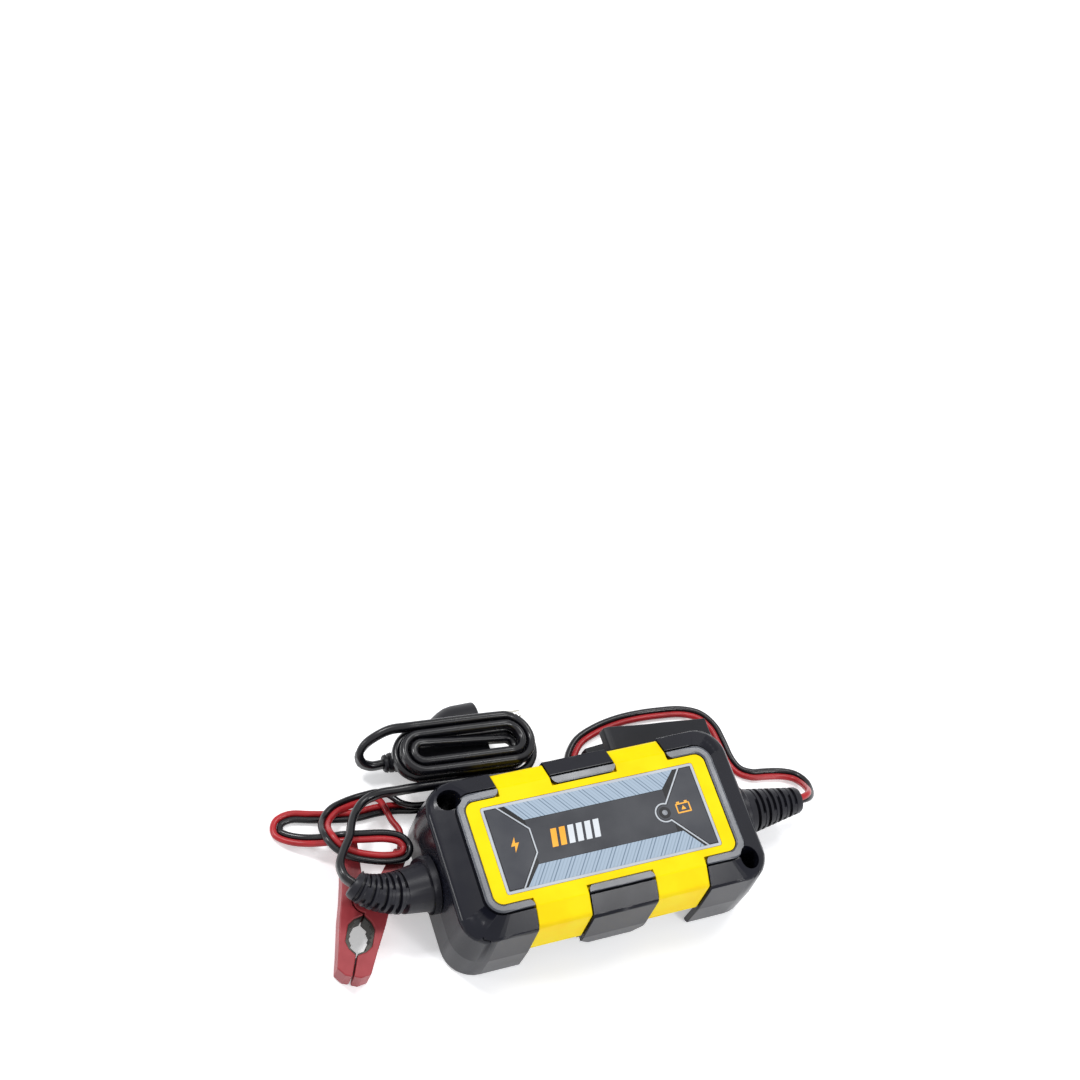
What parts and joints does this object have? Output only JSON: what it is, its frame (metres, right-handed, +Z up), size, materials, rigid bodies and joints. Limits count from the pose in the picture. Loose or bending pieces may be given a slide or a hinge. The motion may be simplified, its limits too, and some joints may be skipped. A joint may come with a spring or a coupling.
{
  "type": "car battery charger",
  "caption": "Small yellow and black mains charger for 12 V vehicle batteries, with mains plug, twin lead and sprung clamps.",
  "frame": {"origin": "centre of the case's flat back, on the surface it lies on", "axes": "+X along the case's length towards the battery lead, +Y towards the hank and the plug, +Z up through the label"},
  "size_m": [0.2168, 0.1042, 0.0387],
  "materials": {
    "yellow_abs": "satin moulded ABS",
    "black_abs": "fine-textured moulded ABS",
    "label_film": "printed film, satin",
    "indicator": "frosted light guide",
    "bright_steel": "plated steel",
    "board_green": "glass-fibre laminate with solder mask",
    "ferrite": "sintered ferrite",
    "winding_tape": "polyester tape",
    "can_sleeve": "shrink sleeve",
    "component_epoxy": "moulded epoxy",
    "heat_sink_alu": "extruded",
    "fuse_glass": "glass tube with plated caps",
    "relief_pvc": "soft PVC, satin",
    "cord_black": "PVC jacket, semi-gloss",
    "cord_red": "PVC jacket, semi-gloss",
    "plug_pvc": "moulded PVC",
    "clamp_red": "moulded nylon, semi-matte",
    "clamp_black": "moulded nylon, semi-matte"
  },
  "bodies": {
    "case": {"front_housing": "yellow_abs", "rear_housing": "black_abs", "end_bumper_left": "black_abs", "end_bumper_right": "black_abs", "clip_front": "black_abs", "clip_rear": "black_abs", "label_plate": "label_film", "led_lens": "indicator", "circuit_board": "board_green", "transformer_core": "ferrite", "transformer_winding": "winding_tape", "mains_capacitor": "can_sleeve", "output_capacitor": "can_sleeve", "bridge_rectifier": "component_epoxy", "power_transistor": "component_epoxy", "heat_sink": "heat_sink_alu", "fuse": "fuse_glass", "case_screws": "bright_steel", "board_screws": "bright_steel", "strain_relief_left": "relief_pvc", "strain_relief_right": "relief_pvc", "mains_cord_start": "cord_black", "mains_cord_hank": "cord_black", "mains_cord_end": "cord_black", "plug_body": "plug_pvc", "plug_pins": "bright_steel", "battery_lead_twin": "cord_black", "battery_lead_red": "cord_red", "battery_lead_black": "cord_black", "red_clamp_body": "clamp_red", "red_clamp_teeth_fixed": "bright_steel", "red_clamp_pin": "bright_steel", "red_clamp_spring": "bright_steel", "black_clamp_body": "clamp_black", "black_clamp_teeth_fixed": "bright_steel", "black_clamp_pin": "bright_steel", "black_clamp_spring": "bright_steel"},
    "red_jaw": {"red_clamp_jaw": "clamp_red", "red_clamp_teeth_moving": "bright_steel"},
    "black_jaw": {"black_clamp_jaw": "clamp_black", "black_clamp_teeth_moving": "bright_steel"}
  },
  "joints": [
    {"name": "red_clamp_hinge", "type": "hinge", "parent": "case", "child": "red_jaw", "pos_m": [-0.086, 0.002, 0.00525], "axis": [0, 0, -1], "range_deg": [0, 28], "stiffness_Nm_per_rad": 0.05, "springref_deg": -34.38, "deforming": ["red_clamp_spring"]},
    {"name": "black_clamp_hinge", "type": "hinge", "parent": "case", "child": "black_jaw", "pos_m": [0.04, 0.03855, 0.00976], "axis": [0, -1, 0], "range_deg": [0, 28], "stiffness_Nm_per_rad": 0.05, "springref_deg": -34.38, "deforming": ["black_clamp_spring"]}
  ]
}
